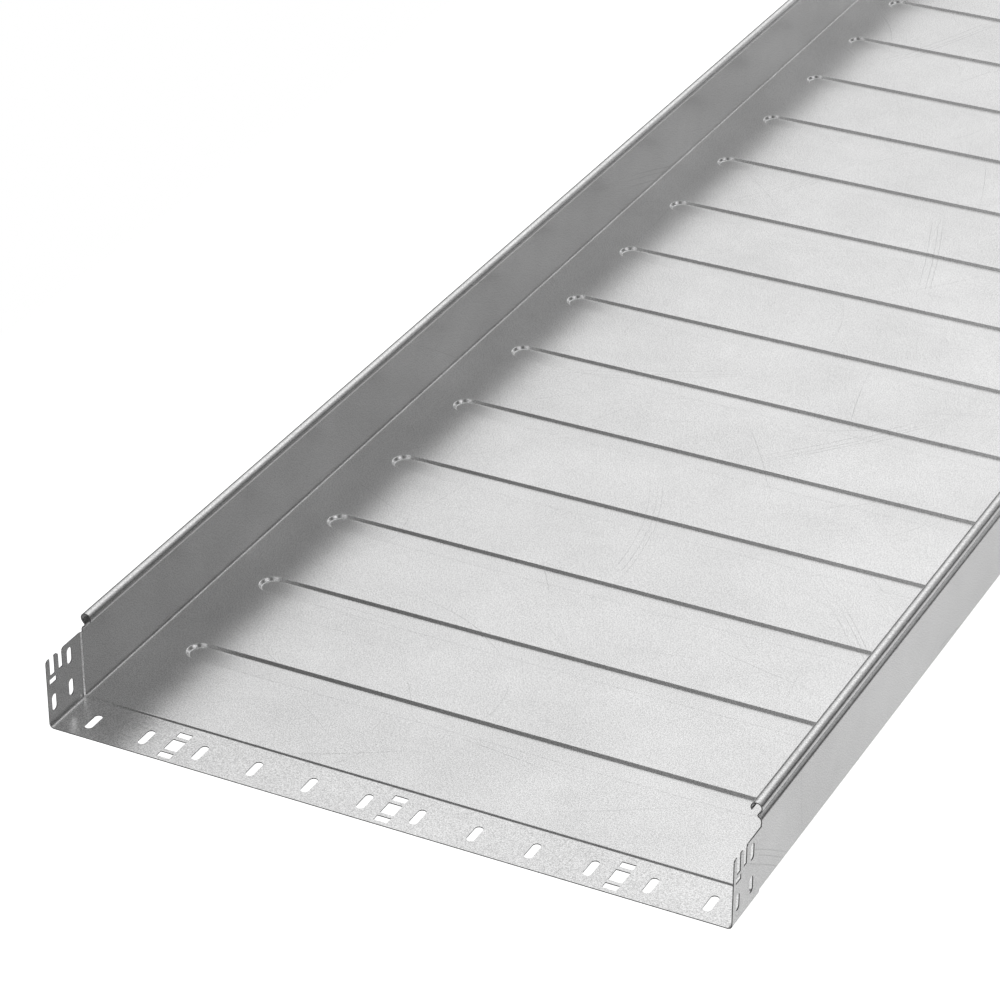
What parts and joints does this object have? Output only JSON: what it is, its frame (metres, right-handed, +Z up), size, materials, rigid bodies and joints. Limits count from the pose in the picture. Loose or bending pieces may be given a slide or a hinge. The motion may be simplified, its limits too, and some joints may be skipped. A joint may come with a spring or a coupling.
{
  "type": "solid cable tray",
  "caption": "Solid galvanised steel cable tray: wide shallow channel with rolled top edges, pressed cross ribs and a slotted push-together connector at one end.",
  "frame": {"origin": "middle of the tray's length and width, at the height of its lowest surface, the undersides of the pressed ribs", "axes": "+X across the tray, +Y along it from the connector end to the plain end, +Z up out of the open side"},
  "size_m": [0.6022, 3, 0.0825],
  "materials": {
    "galvanised_steel": "strip-galvanised sheet steel, pale grey, satin with a fine grain"
  },
  "bodies": {
    "root": {"cable_tray": "galvanised_steel"}
  },
  "joints": []
}
